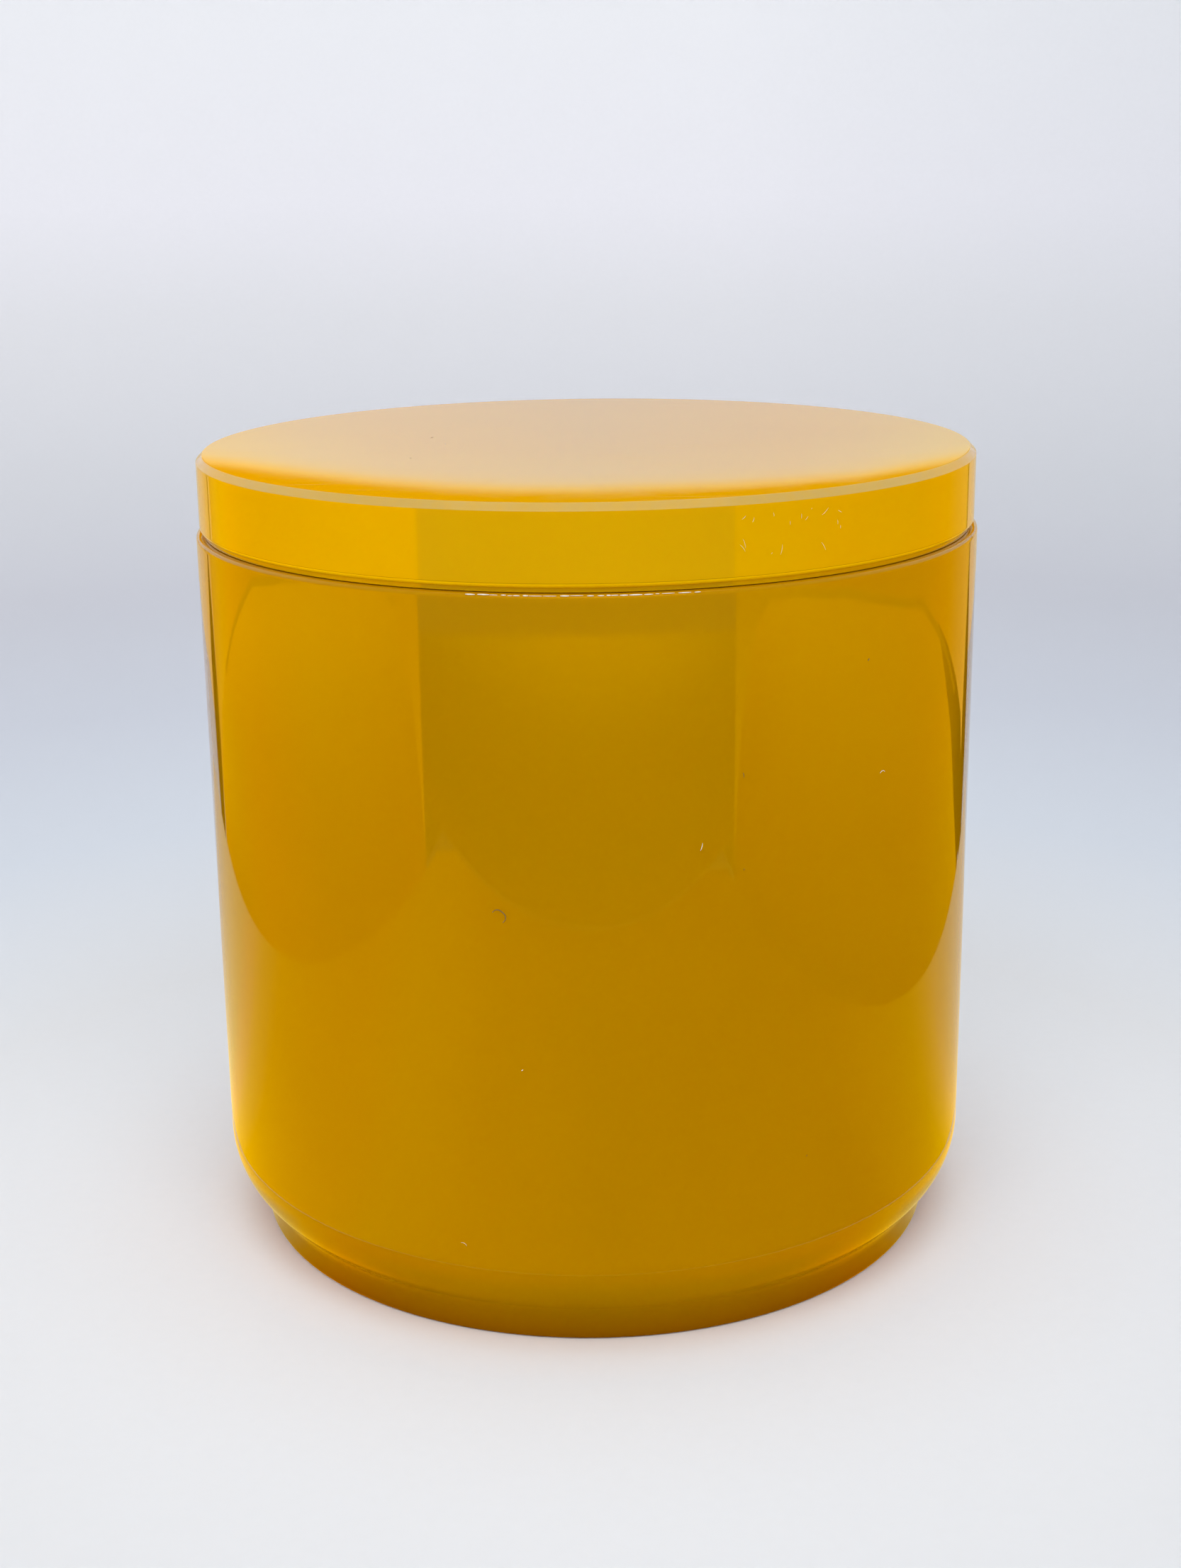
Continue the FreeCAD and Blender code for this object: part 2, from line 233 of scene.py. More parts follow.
def finished(name, vertices, faces, material, shading=None):
    """A mesh object in the scene with one material and smooth faces."""
    mesh = bpy.data.meshes.new(name)
    mesh.from_pydata([tuple(vertex) for vertex in vertices], [], faces)
    mesh.polygons.foreach_set("use_smooth", [True] * len(mesh.polygons))
    if shading:
        mesh.normals_split_custom_set([tuple(normal) for normal in shading])
    mesh.materials.append(material)
    piece = bpy.data.objects.new(name, mesh)
    bpy.context.scene.collection.objects.link(piece)
    return piece


# ---------------------------------------------------------------- materials

class Surface:
    """A Principled material with short calls for its procedural nodes. Texture space is in millimetres."""

    def __init__(self, name, **constants):
        self.material = bpy.data.materials.new(name)
        self.material.use_nodes = True
        self.tree = self.material.node_tree
        self.shader = self.tree.nodes["Principled BSDF"]
        for socket, setting in constants.items():
            self.shader.inputs[socket.replace("_", " ")].default_value = setting
        place = self.node("ShaderNodeTexCoord")
        self.space = self.node("ShaderNodeMapping")
        self.space.inputs["Scale"].default_value = (1 / MM,) * 3
        self.link(place.outputs["Object"], self.space.inputs["Vector"])

    def node(self, kind, **settings):
        """A new shader node."""
        made = self.tree.nodes.new(kind)
        for name, setting in settings.items():
            setattr(made, name, setting)
        return made

    def link(self, source, target):
        """Joins an output to an input."""
        self.tree.links.new(source, target)

    def stretched(self, scale, turn=(0, 0, 0)):
        """The millimetre space stretched and turned, for grain that runs one way."""
        mapping = self.node("ShaderNodeMapping")
        mapping.inputs["Scale"].default_value = scale
        mapping.inputs["Rotation"].default_value = [math.radians(angle) for angle in turn]
        self.link(self.space.outputs["Vector"], mapping.inputs["Vector"])
        return mapping.outputs["Vector"]

    def noise(self, scale, detail=3.0, roughness=0.5, distortion=0.0, space=None):
        """A noise pattern, its scale in cycles per millimetre."""
        texture = self.node("ShaderNodeTexNoise")
        for socket, setting in (("Scale", scale), ("Detail", detail), ("Roughness", roughness),
                                ("Distortion", distortion)):
            texture.inputs[socket].default_value = setting
        self.link(space or self.space.outputs["Vector"], texture.inputs["Vector"])
        return texture.outputs["Fac"]

    def specks(self, scale, size, share):
        """Small spots, one in each cell of a Voronoi pattern, kept in a share of the cells."""
        cells = self.node("ShaderNodeTexVoronoi")
        cells.inputs["Scale"].default_value = scale
        self.link(self.space.outputs["Vector"], cells.inputs["Vector"])
        spot = self.ranged(cells.outputs["Distance"], size * scale, size * scale * 0.5, 0.0, 1.0)
        pick = self.node("ShaderNodeSeparateColor")
        self.link(cells.outputs["Color"], pick.inputs["Color"])
        kept = self.math("LESS_THAN", pick.outputs["Red"], share)
        return self.math("MULTIPLY", spot, kept)

    def ranged(self, value, low, high, to_low, to_high):
        """A value mapped from one range to another and clamped."""
        node = self.node("ShaderNodeMapRange", clamp=True)
        limits = (("From Min", low), ("From Max", high), ("To Min", to_low), ("To Max", to_high))
        for socket, setting in limits:
            node.inputs[socket].default_value = setting
        self.link(value, node.inputs["Value"])
        return node.outputs["Result"]

    def math(self, operation, first, second):
        """The result of arithmetic on two numbers or outputs."""
        node = self.node("ShaderNodeMath", operation=operation)
        for socket, operand in zip(node.inputs, (first, second)):
            if isinstance(operand, (int, float)):
                socket.default_value = operand
            else:
                self.link(operand, socket)
        return node.outputs["Value"]

    def mixed(self, factor, first, second):
        """A colour between two colours, each a tuple or another node's output."""
        node = self.node("ShaderNodeMix", data_type="RGBA")
        self.link(factor, node.inputs["Factor"])
        for socket, colour in ((node.inputs[6], first), (node.inputs[7], second)):
            if isinstance(colour, tuple):
                socket.default_value = (*colour, 1.0)
            else:
                self.link(colour, socket)
        return node.outputs[2]

    def bumped(self, height, depth):
        """Adds a bump of a depth in millimetres on top of those already there."""
        bump = self.node("ShaderNodeBump")
        bump.inputs["Distance"].default_value = depth * MM
        self.link(height, bump.inputs["Height"])
        earlier = self.shader.inputs["Normal"]
        if earlier.is_linked:
            self.link(earlier.links[0].from_socket, bump.inputs["Normal"])
        self.link(bump.outputs["Normal"], earlier)

    def paint(self, socket, value):
        """Joins an output to one of the shader's own sockets."""
        self.link(value, self.shader.inputs[socket])


def amber_plastic(name, light, deep, reflection, scratch_turn, film_range):
    """Polished amber moulding: pigment streaks, smudges, hairline scratches and dust, with painted
    highlight, shade and glow from a mesh attribute.
    """
    surface = Surface(name, IOR=1.49, Specular_IOR_Level=0.75, Specular_Tint=(*reflection, 1.0),
                      Subsurface_Weight=0.35, Subsurface_Radius=(1.0, 0.6, 0.1), Subsurface_Scale=0.0012)
    cloud = surface.noise(0.035, detail=4, distortion=0.6)
    streak = surface.noise(0.5, detail=5, space=surface.stretched((0.12, 0.12, 0.7)))
    pigment = surface.mixed(surface.ranged(cloud, 0.3, 0.7, 0.0, 1.0), light, deep)
    pigment = surface.mixed(surface.ranged(streak, 0.35, 0.75, 0.0, 0.25), pigment, deep)
    dust = surface.specks(0.16, 0.16, 0.22)
    pigment = surface.mixed(surface.math("MULTIPLY", dust, 0.55), pigment, (0.16, 0.09, 0.02))
    painted_part = surface.node("ShaderNodeAttribute")
    painted_part.attribute_name = "painted_light"
    # Painted highlight: the pale tone on the lid's chamfer, broken up by noise.
    highlight_break = surface.ranged(surface.noise(0.9, detail=4), 0.25, 0.7, 0.75, 1.0)
    edge = surface.math("MULTIPLY", surface.math("MAXIMUM", painted_part.outputs["Fac"], 0.0), highlight_break)
    pigment = surface.mixed(edge, pigment, PAINTED_HIGHLIGHT_TONE)
    # Painted shade: levels from 0 down to -1 darken towards a deep amber, on the foot ring and the crease.
    painted_shade_mask = surface.ranged(painted_part.outputs["Fac"], -1.0, 0.0, 1.0, 0.0)
    pigment = surface.mixed(painted_shade_mask, pigment, PAINTED_SHADE_AMBER)
    # Painted glow: levels from -1 down to -2 lighten towards a bright amber, on the lid's lip and lower
    # edge.
    painted_glow_mask = surface.ranged(painted_part.outputs["Fac"], -2.0, -1.0, 1.0, 0.0)
    pigment = surface.mixed(painted_glow_mask, pigment, PAINTED_GLOW_AMBER)
    surface.paint("Base Color", pigment)

    smudge = surface.noise(0.11, detail=6, roughness=0.62, distortion=1.4)
    film = surface.ranged(smudge, 0.48, 0.74, *film_range)
    hairlines = surface.noise(1.0, detail=2, space=surface.stretched((0.05, 7.0, 7.0), scratch_turn))
    lines = surface.ranged(hairlines, 0.70, 0.78, 0.0, 1.0)
    rough = surface.math("ADD", film, surface.math("MULTIPLY", lines, 0.12))
    rough = surface.math("ADD", rough, surface.math("MULTIPLY", dust, 0.4))
    surface.paint("Roughness", rough)

    surface.bumped(surface.noise(0.045, detail=1), 0.003)
    surface.bumped(surface.noise(1.6, detail=3), 0.0002)
    surface.bumped(surface.math("SUBTRACT", 1.0, lines), 0.0008)
    surface.bumped(dust, 0.02)
    return surface.material


def white_moulding(name, light, deep, roughness):
    """Satin natural-white moulding, faintly waxy and streaked by the mould's polish."""
    surface = Surface(name, IOR=1.49, Subsurface_Weight=0.25, Subsurface_Radius=(1.0, 0.8, 0.6),
                      Subsurface_Scale=0.003)
    cloud = surface.noise(0.06, detail=4, distortion=0.5)
    pigment = surface.mixed(surface.ranged(cloud, 0.3, 0.7, 0.0, 1.0), light, deep)
    dust = surface.specks(0.22, 0.12, 0.10)
    pigment = surface.mixed(surface.math("MULTIPLY", dust, 0.5), pigment, (0.30, 0.27, 0.22))
    surface.paint("Base Color", pigment)
    polish = surface.noise(1.0, detail=4, space=surface.stretched((0.5, 0.5, 3.0)))
    surface.paint("Roughness", surface.ranged(polish, 0.3, 0.7, roughness - 0.06, roughness + 0.1))
    surface.bumped(surface.noise(0.08, detail=2), 0.02)
    surface.bumped(surface.noise(5.0, detail=4), 0.003)
    return surface.material


def foam():
    """Closed-cell foam: fine round cells with a dull skin."""
    surface = Surface("liner_foam", IOR=1.4, Sheen_Weight=0.15, Sheen_Roughness=0.6)
    cells = surface.node("ShaderNodeTexVoronoi")
    cells.inputs["Scale"].default_value = 2.6
    surface.link(surface.space.outputs["Vector"], cells.inputs["Vector"])
    pores = surface.ranged(cells.outputs["Distance"], 0.1, 0.7, 0.0, 1.0)
    surface.paint("Base Color", surface.mixed(pores, (0.66, 0.66, 0.63), (0.80, 0.80, 0.78)))
    surface.paint("Roughness", surface.ranged(pores, 0.0, 1.0, 0.95, 0.8))
    surface.bumped(pores, 0.05)
    surface.bumped(surface.noise(0.3, detail=5), 0.03)
    return surface.material


# ---------------------------------------------------------------- pieces

def make_jar():
    """The outer jar: foot ring, rounded lower corner, straight wall, eased shoulder, rebate and bore."""
    corner_z = FLOOR_UNDER + CORNER_RADIUS
    corner_r = JAR_RADIUS - CORNER_RADIUS
    crease_r = FOOT_RADIUS + CREASE_ROUND
    crease_drop = math.sqrt((CORNER_RADIUS + CREASE_ROUND) ** 2 - (crease_r - corner_r) ** 2)
    meeting = -math.degrees(math.atan2(crease_drop, crease_r - corner_r))
    crease = arc((crease_r, corner_z - crease_drop), CREASE_ROUND, 180, 180 + meeting, CREASE_STEPS)
    # Painted shade in the crease above the foot, fading out towards the corner.
    crease = [(r, z, 0, CREASE_PAINTED_SHADE * (1 - k / CREASE_STEPS)) for k, (r, z) in enumerate(crease)]
    outer_corner = [(r, z, 0) for r, z in arc((corner_r, corner_z), CORNER_RADIUS, meeting, 0, 28)[1:]]
    inner_corner = [(r, z, 0) for r, z in
                    arc((corner_r, corner_z), CORNER_RADIUS - JAR_WALL, 0, -90, 10)]
    corners = [
        (0, FLOOR_UNDER + GATE_DEPTH, 0),
        (GATE_RADIUS, FLOOR_UNDER + GATE_DEPTH, EDGE_ROUND),
        (GATE_RADIUS, FLOOR_UNDER, EDGE_ROUND),
        (FOOT_BORE, FLOOR_UNDER, 0.3),
        # Painted shade on the foot ring, under the corner's overhang.
        (FOOT_BORE, 0, FOOT_ROUND, PAINTED_SHADE),
        (FOOT_RADIUS, 0, FOOT_ROUND, PAINTED_SHADE),
        *crease,
        *outer_corner,
        (JAR_RADIUS, SHOULDER - SHOULDER_ROUND - PAINT_REACH, 0),
        (JAR_RADIUS, SHOULDER, SHOULDER_ROUND),
        (REBATE_BORE, SHOULDER, EDGE_ROUND),
        (REBATE_BORE, REBATE_FLOOR, EDGE_ROUND),
        (JAR_BORE, REBATE_FLOOR, EDGE_ROUND),
        *inner_corner,
        (0, FLOOR_TOP, 0),
    ]
    jar = turned("jar_body", rounded(corners), JAR_AMBER)
    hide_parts("outer_jar")
    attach(jar, "jar")


def make_cover():
    """The lid cover: chamfered rim, faintly dished top and a hollow for the insert."""
    bore = LID_RADIUS - LID_WALL
    corners = [
        (0, LID_CEILING, 0),
        (bore, LID_CEILING, EDGE_ROUND),
        (bore, LIP_EDGE, EDGE_ROUND / 2),
        # Painted glow on the lip and the lower edge's round, lifting the shade of the groove below the lid.
        (LIP_RADIUS, LIP_EDGE, EDGE_ROUND / 2, LIP_GLOW),
        (LIP_RADIUS, LID_EDGE, 0, LIP_GLOW),
        (LID_RADIUS, LID_EDGE, LID_EDGE_ROUND, EDGE_GLOW),
        (LID_RADIUS, LID_EDGE + LID_EDGE_ROUND + PAINT_REACH, 0),
        (LID_RADIUS, LID_TOP - LID_CHAMFER - PAINT_REACH, 0),
        # Painted pale highlight on the chamfer, fading towards the sides.
        (LID_RADIUS, LID_TOP - LID_CHAMFER, EDGE_ROUND, PAINTED_HIGHLIGHT),
        (LID_RADIUS - LID_CHAMFER, LID_TOP, EDGE_ROUND, PAINTED_HIGHLIGHT),
        (LID_RADIUS - LID_CHAMFER - PAINT_REACH, LID_TOP, 0),
        (LID_RADIUS - LID_FLAT_RIM, LID_TOP, 0),
        (LID_DISH_RADIUS, LID_TOP - LID_DISH, 0),
        (LID_CENTRE_RADIUS, LID_TOP - LID_DISH, 0),
        (0, LID_TOP - LID_DISH, 0),
    ]
    cover = turned("lid_cover", rounded(corners), LID_AMBER)
    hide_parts("lid_shell")
    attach(cover, "lid")


def dress_cad_nodes():
    """Gives the inner CAD pieces their materials."""
    white = white_moulding("cup_white", (0.80, 0.78, 0.72), (0.74, 0.72, 0.66), 0.28)
    waxy = white_moulding("disc_white", (0.84, 0.83, 0.79), (0.78, 0.77, 0.73), 0.36)
    looks = {"inner_cup": white, "lid_insert": white, "sealing_disc": waxy, "lid_liner": foam()}
    for node, material in looks.items():
        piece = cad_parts[node]
        for slot in piece.material_slots:
            slot.material = material


def lint(name, tone, body, strands):
    """Fine fibres on a turned surface. A strand is (radius, thickness, [(angle, height), ...]) in mm."""
    surface = Surface(name, Roughness=0.6, Sheen_Weight=0.3)
    fuzz = surface.noise(4.0, detail=4)
    surface.paint("Base Color", surface.mixed(surface.ranged(fuzz, 0.3, 0.7, 0.0, 1.0), tone[0], tone[1]))
    surface.bumped(surface.noise(9.0, detail=3), 0.01)
    vertices, faces = [], []
    sides = 6
    for radius, thickness, places in strands:
        first = len(vertices)
        path = []
        for angle, height in places:
            turn = math.radians(angle)
            path.append(Vector((radius * math.sin(turn), -radius * math.cos(turn), height)))
        for k, point in enumerate(path):
            way = (path[min(k + 1, len(path) - 1)] - path[max(k - 1, 0)]).normalized()
            out = Vector((point.x, point.y, 0)).normalized()
            across = way.cross(out).normalized()
            taper = thickness * (0.35 + 0.65 * math.sin(math.pi * (k + 0.5) / len(path)))
            for j in range(sides):
                angle = math.tau * j / sides
                vertices.append((point + (across * math.cos(angle) + out * math.sin(angle)) * taper) * MM)
        for k in range(len(path) - 1):
            for j in range(sides):
                low = first + k * sides
                following = (j + 1) % sides
                faces.append([low + j, low + following, low + sides + following, low + sides + j])
        faces.append([first + j for j in reversed(range(sides))])
        faces.append([len(vertices) - sides + j for j in range(sides)])
    piece = finished(name, vertices, faces, surface.material)
    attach(piece, body)


def curl(angle, height, length, bend, tilt):
    """Points of a curled fibre, starting at an angle and height on the jar."""
    points = []
    heading = math.radians(tilt)
    for step in range(CURL_STEPS + 1):
        points.append((angle, height))
        angle += math.degrees(length / CURL_STEPS * math.cos(heading) / JAR_RADIUS)
        height += length / CURL_STEPS * math.sin(heading)
        heading += math.radians(bend) / CURL_STEPS * (1 + 0.5 * math.sin(step))
    return points


def scatter_lint():
    """Lint on the wall, short pale strands along the front of the shoulder as a painted highlight, and
    scuffs and dust on the lid.
    """
    shades = ((0.10, 0.06, 0.02), (0.20, 0.13, 0.03))
    pale = ((0.95, 0.92, 0.85), (0.80, 0.72, 0.55))
    rise = JAR_RADIUS + 0.005
    lint("lint_dark", shades, "jar", [
        (rise, 0.045, curl(-13.0, 42.9, 2.2, -190, 50)),
        (rise, 0.03, curl(20.2, 54.3, 0.5, 60, 70)),
        (rise, 0.05, curl(39.8, 62.9, 0.25, 20, 40)),
    ])
    lint("lint_pale", pale, "jar", [
        (rise, 0.015, curl(-17.9, 10.6, 0.7, 90, 110)),
        (rise, 0.03, curl(14.3, 48.2, 0.7, 30, 60)),
        (rise, 0.03, curl(42.8, 52.3, 0.8, -120, 60)),
        (rise, 0.04, curl(-9.6, 28.3, 0.2, 40, 20)),
    ])
    chance = random.Random(5)
    # Painted highlight: pale strands along the front of the shoulder stand in for the highlight on its
    # round.
    glints = []
    angle = -15.5
    while angle < 13.5:
        reach = chance.uniform(0.5, 1.7)
        thickness = chance.choice((0.03, 0.045, 0.06))
        height = SHOULDER - 0.08 + chance.uniform(-0.02, 0.02)
        path = [(angle + reach * part / 5, height) for part in range(6)]
        glints.append((JAR_RADIUS - 0.065, thickness, path))
        angle += reach + chance.uniform(0.0, 0.5)
    lint("shoulder_glint", pale, "jar", glints)
    scuffs = []
    for _ in range(16):
        angle = chance.uniform(19, 35)
        height = chance.uniform(72.6, 76.8)
        tilt = chance.uniform(20, 140)
        length = chance.uniform(0.1, 0.9)
        scuffs.append((LID_RADIUS + 0.001, 0.010, curl(angle, height, length, 30, tilt)))
    lint("lid_scuffs", pale, "lid", scuffs)
    top = LID_TOP - 0.02
    lint("lid_dust", shades, "lid", [
        (13.7, 0.02, [(-91 + step * 0.5, top) for step in range(4)]),
        (16.1, 0.015, [(-109 + step * 0.8, top) for step in range(4)]),
        (19.0, 0.015, [(-60 + step * 0.4, top) for step in range(3)]),
        (35.0, 0.018, [(-5.4 + step * 0.25, top) for step in range(3)]),
    ])


# ---------------------------------------------------------------- studio

def stage_sweep():
    """A pale floor that curves up all round into a low wall, with painted light and shade in its colour, and
    painted shade towards +X.
    """
    surface = Surface("paper", Roughness=0.9, Specular_IOR_Level=0.0)
    place = surface.node("ShaderNodeSeparateXYZ")
    surface.link(surface.space.outputs["Vector"], place.inputs["Vector"])
    squares = surface.math("ADD", surface.math("POWER", place.outputs["X"], 2.0),
                           surface.math("POWER", place.outputs["Y"], 2.0))
    reach = surface.math("SQRT", squares, 0.0)
    path = surface.math("ADD", reach, surface.math("MULTIPLY", place.outputs["Z"], 2.0))
    ramp = surface.node("ShaderNodeValToRGB")
    surface.link(surface.ranged(path, 0.0, SWEEP_PATH, 0.0, 1.0), ramp.inputs["Fac"])
    steps = ramp.color_ramp.elements
    steps[0].color = (*SWEEP_PAINTED_TONES[0][1], 1)
    steps[-1].position = SWEEP_PAINTED_TONES[-1][0] / SWEEP_PATH
    steps[-1].color = (*SWEEP_PAINTED_TONES[-1][1], 1)
    for distance, tone in SWEEP_PAINTED_TONES[1:-1]:
        step = steps.new(distance / SWEEP_PATH)
        step.color = (*tone, 1)
    grain = surface.noise(0.8, detail=5)
    speckle = surface.ranged(grain, 0.3, 0.7, 0.0, 0.03)
    paper = surface.mixed(speckle, ramp.outputs["Color"], SWEEP_GRAIN)
    shade = surface.ranged(place.outputs["X"], 40.0, 200.0, 0.0, 0.25)
    surface.paint("Base Color", surface.mixed(shade, paper, SWEEP_SHADE))

    points = [(0, -SWEEP_DROP), (60, -SWEEP_DROP), (160, -SWEEP_DROP)]
    points += arc((SWEEP_FLAT, SWEEP_RISE), SWEEP_RISE + SWEEP_DROP, -90, 0, 16)
    points.append((SWEEP_FLAT + SWEEP_RISE, SWEEP_TOP))
    vertices, faces = [], []
    for out, height in points:
        for j in range(SWEEP_SEGMENTS):
            angle = math.tau * j / SWEEP_SEGMENTS
            vertices.append(Vector((out * math.cos(angle), out * math.sin(angle), height)) * MM)
    for k in range(len(points) - 1):
        low = k * SWEEP_SEGMENTS
        high = low + SWEEP_SEGMENTS
        for j in range(SWEEP_SEGMENTS):
            following = (j + 1) % SWEEP_SEGMENTS
            faces.append([low + j, high + j, high + following, low + following])
    finished("sweep", vertices, faces, surface.material)


def area_light(name, place, target, size, radiance, colour):
    """A soft panel of a given radiance that the camera itself doesn't see."""
    data = bpy.data.lights.new(name, "AREA")
    data.shape = "RECTANGLE"
    data.size, data.size_y = size
    data.energy = radiance * math.pi * size[0] * size[1]
    data.color = colour
    lamp = bpy.data.objects.new(name, data)
    lamp.location = place
    lamp.rotation_mode = "QUATERNION"
    lamp.rotation_quaternion = (Vector(target) - Vector(place)).to_track_quat("-Z", "Y")
    lamp.visible_camera = False
    bpy.context.scene.collection.objects.link(lamp)


def card(name, rows):
    """A glowing card that only reflections see. A row is a list of (point in mm, colour) pairs."""
    material = bpy.data.materials.new(name)
    material.use_nodes = True
    tree = material.node_tree
    tree.nodes.remove(tree.nodes["Principled BSDF"])
    glow = tree.nodes.new("ShaderNodeEmission")
    tone = tree.nodes.new("ShaderNodeAttribute")
    tone.attribute_name = "tone"
    tree.links.new(tone.outputs["Color"], glow.inputs["Color"])
    tree.links.new(glow.outputs["Emission"], tree.nodes["Material Output"].inputs["Surface"])
    width = len(rows[0])
    points = [Vector(point) * MM for row in rows for point, _ in row]
    faces = []
    for k in range(len(rows) - 1):
        for j in range(width - 1):
            first = k * width + j
            faces.append([first, first + 1, first + width + 1, first + width])
    piece = finished(name, points, faces, material)
    tones = piece.data.attributes.new("tone", "FLOAT_COLOR", "POINT")
    levels = [part * CARD_LEVEL for row in rows for _, colour in row for part in (*colour, 1.0)]
    tones.data.foreach_set("color", levels)
    piece.visible_camera = False
    piece.visible_diffuse = False
    piece.visible_transmission = False
    piece.visible_shadow = False


def between(stops, at):
    """A number or colour read off a list of (place, value) stops."""
    for (low, first), (high, second) in zip(stops, stops[1:]):
        if at <= high:
            part = max(0.0, (at - low) / (high - low))
            if isinstance(first, tuple):
                return tuple(a + (b - a) * part for a, b in zip(first, second))
            return first + (second - first) * part
    return stops[-1][1]


# The cards' tones are (red, green, blue) radiances and their places are in millimetres. A side wall of the
# light tent has an arched pocket, given by (depth, height) from the front to the back. A pocket's tones are
# columns at three depths, each by height, and the cloth's above it are by depth. Behind the pocket is a dark
# gap, given as (height, first depth, last depth). The right wall stands a little nearer the front.
LEFT_WALL = -118
RIGHT_WALL = 100
RIGHT_SHIFT = -7
CLOTH_TOP = 80.0
ARCH = (
    (-127, 2), (-124, 14), (-118, 28), (-103, 45), (-93, 49), (-70, 52), (-40, 54), (-15, 53.5),
    (11, 52), (28, 47), (42, 42), (60, 34), (78, 24), (88, 13), (92, 2),
)
LEFT_POCKET = (
    (-50, (
        (0, (1.5, 0.66, 0.0)), (10, (1.6, 0.8, 0.0)), (20, (1.8, 1.1, 0.0)), (31, (2.2, 1.65, 0.0)),
        (39, (2.5, 2.1, 0.0)), (48, (3.2, 2.6, 0.0)),
    )),
    (0, (
        (0, (1.6, 0.66, 0.0)), (10, (1.72, 0.67, 0.0)), (20, (1.8, 0.74, 0.0)),
        (29, (1.88, 0.85, 0.0)), (38, (2.25, 1.2, 0.0)), (47, (2.6, 1.55, 0.0)),
    )),
    (50, (
        (0, (1.0, 0.45, 0.0)), (14, (1.27, 0.66, 0.0)), (24, (1.3, 0.7, 0.0)),
        (33, (1.5, 0.72, 0.0)), (43, (1.9, 0.95, 0.0)),
    )),
)
RIGHT_POCKET = (
    (-60, (
        (0, (0.75, 0.2, 0.0)), (15, (1.0, 0.35, 0.0)), (24, (1.25, 0.65, 0.0)),
        (33, (1.62, 1.15, 0.0)), (42, (2.1, 1.75, 0.0)), (50, (2.6, 2.4, 0.0)),
    )),
    (0, (
        (0, (0.82, 0.28, 0.0)), (14, (1.0, 0.42, 0.0)), (24, (1.12, 0.45, 0.0)),
        (33, (1.38, 0.62, 0.0)), (41, (1.55, 0.82, 0.0)), (50, (2.0, 1.0, 0.0)),
    )),
    (50, (
        (0, (0.85, 0.42, 0.0)), (14, (0.96, 0.5, 0.0)), (24, (1.1, 0.55, 0.0)),
        (33, (1.3, 0.6, 0.0)),
    )),
)
LEFT_CLOTH = (
    (-110, (2.6, 2.05, 0.0)), (-60, (2.6, 1.9, 0.0)), (-28, (2.45, 1.45, 0.0)),
    (1, (2.05, 1.0, 0.0)), (42, (2.0, 0.95, 0.0)), (60, (1.68, 0.92, 0.0)), (75, (1.45, 0.8, 0.02)),
    (90, (1.15, 0.58, 0.03)),
)
RIGHT_CLOTH = (
    (-100, (1.7, 1.55, 0.0)), (-45, (1.95, 1.1, 0.0)), (-7, (1.6, 0.78, 0.0)),
    (20, (1.55, 0.66, 0.0)), (40, (1.45, 0.68, 0.0)), (60, (1.2, 0.62, 0.06)),
)
LEFT_EDGE = (1.25, 0.72, 0.20)
RIGHT_EDGE = (0.95, 0.55, 0.06)
GAP = ((0, 94, 112), (12, 92, 116), (25, 92, 116), (45, 99, 103), (80, 99, 102))
GAP_TONE = (0.10, 0.03, 0.0)
RIM_TONES = ((0, (0.70, 0.28, 0.0)), (2, (0.30, 0.10, 0.0)), (3, GAP_TONE))
POCKET_ROWS = (0, 0.1, 0.25, 0.4, 0.55, 0.7, 0.85, 1.0)
CLOTH_ROWS = (0, 0.25, 1.0)
RIM_START = 9
RIM_REACH = 9
SEAM = slice(3, 12)
SEAM_WIDTH = 1.3
SEAM_SHADE = 0.62
NEARER = 0.995
# The tent's floor at the sides, by angle in degrees from straight ahead.
FLOOR_HEIGHT = 0.6
FLOOR_INNER = 46.0
FLOOR_FRONT = 150.0
FLOOR_REACH = 190.0
LEFT_REACH = 117
RIGHT_REACH = 99
FLOOR_ROWS = (0.0, 0.25, 1.0)
LEFT_FLOOR = (
    (0, (0.72, 0.28, 0.0)), (23, (1.05, 0.5, 0.0)), (34, (1.45, 1.0, 0.0)), (44, (1.62, 1.2, 0.0)),
    (58, (1.8, 1.0, 0.0)), (76, (1.78, 0.98, 0.0)), (90, (1.65, 0.95, 0.0)),
    (100, (1.5, 0.95, 0.1)), (107, (1.45, 0.88, 0.26)), (115, (1.15, 0.85, 0.3)),
    (125, (0.95, 0.75, 0.38)), (140, (0.66, 0.57, 0.45)),
)
RIGHT_FLOOR = (
    (0, (0.72, 0.28, 0.0)), (56, (0.9, 0.3, 0.0)), (70, (1.2, 0.62, 0.0)), (90, (1.25, 0.77, 0.0)),
    (98, (1.3, 0.8, 0.05)), (104, (1.2, 0.76, 0.18)), (112, (1.0, 0.7, 0.26)),
    (121, (0.85, 0.65, 0.36)), (140, (0.68, 0.58, 0.45)),
)
